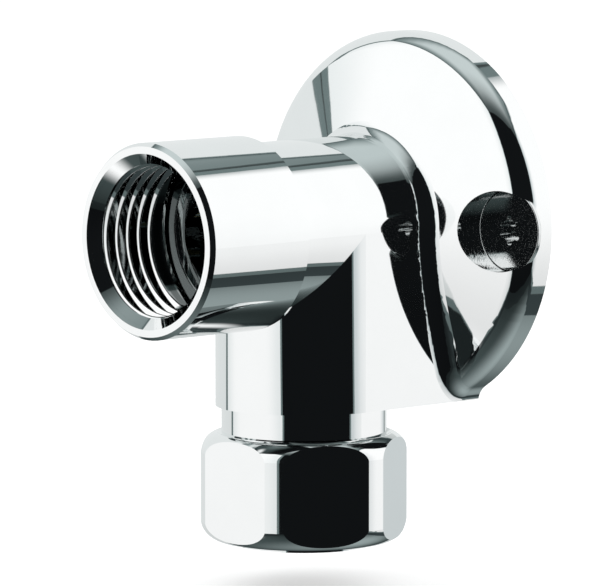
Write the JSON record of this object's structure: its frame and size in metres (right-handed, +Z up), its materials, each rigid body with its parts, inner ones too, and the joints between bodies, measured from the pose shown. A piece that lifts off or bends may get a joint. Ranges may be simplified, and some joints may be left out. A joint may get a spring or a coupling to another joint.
{
  "type": "wall plate elbow",
  "caption": "Chrome wall plate elbow with a threaded front socket, a round screw-fixed wall plate and a compression nut outlet for pipe below.",
  "frame": {"origin": "on the socket axis, in the wall plane at the back of the plate", "axes": "+Y into the wall, so the socket faces -Y; +Z up, so the outlet points to -Z; +X to the right seen from the wall side"},
  "size_m": [0.051, 0.047, 0.0644],
  "materials": {
    "elbow_body": "polished",
    "compression_nut": "polished",
    "olive": "machined",
    "fixing_screws": "polished, fine grain"
  },
  "bodies": {
    "elbow": {"elbow_body": "elbow_body", "fixing_screw_left": "fixing_screws", "fixing_screw_right": "fixing_screws"},
    "olive": {"olive": "olive"},
    "nut": {"compression_nut": "compression_nut"}
  },
  "joints": [
    {"name": "nut_travel", "type": "slide", "parent": "elbow", "child": "olive", "axis": [0, 0, -1], "range_m": [0, 0.00545]},
    {"name": "nut_turn", "type": "hinge", "parent": "olive", "child": "nut", "pos_m": [0, -0.02, -0.033], "axis": [0, 0, -1], "range_deg": [0, 1080]}
  ],
  "couplings": [
    {"joint": "nut_travel", "follows": "nut_turn", "m_per_rad": 0.00028871}
  ]
}
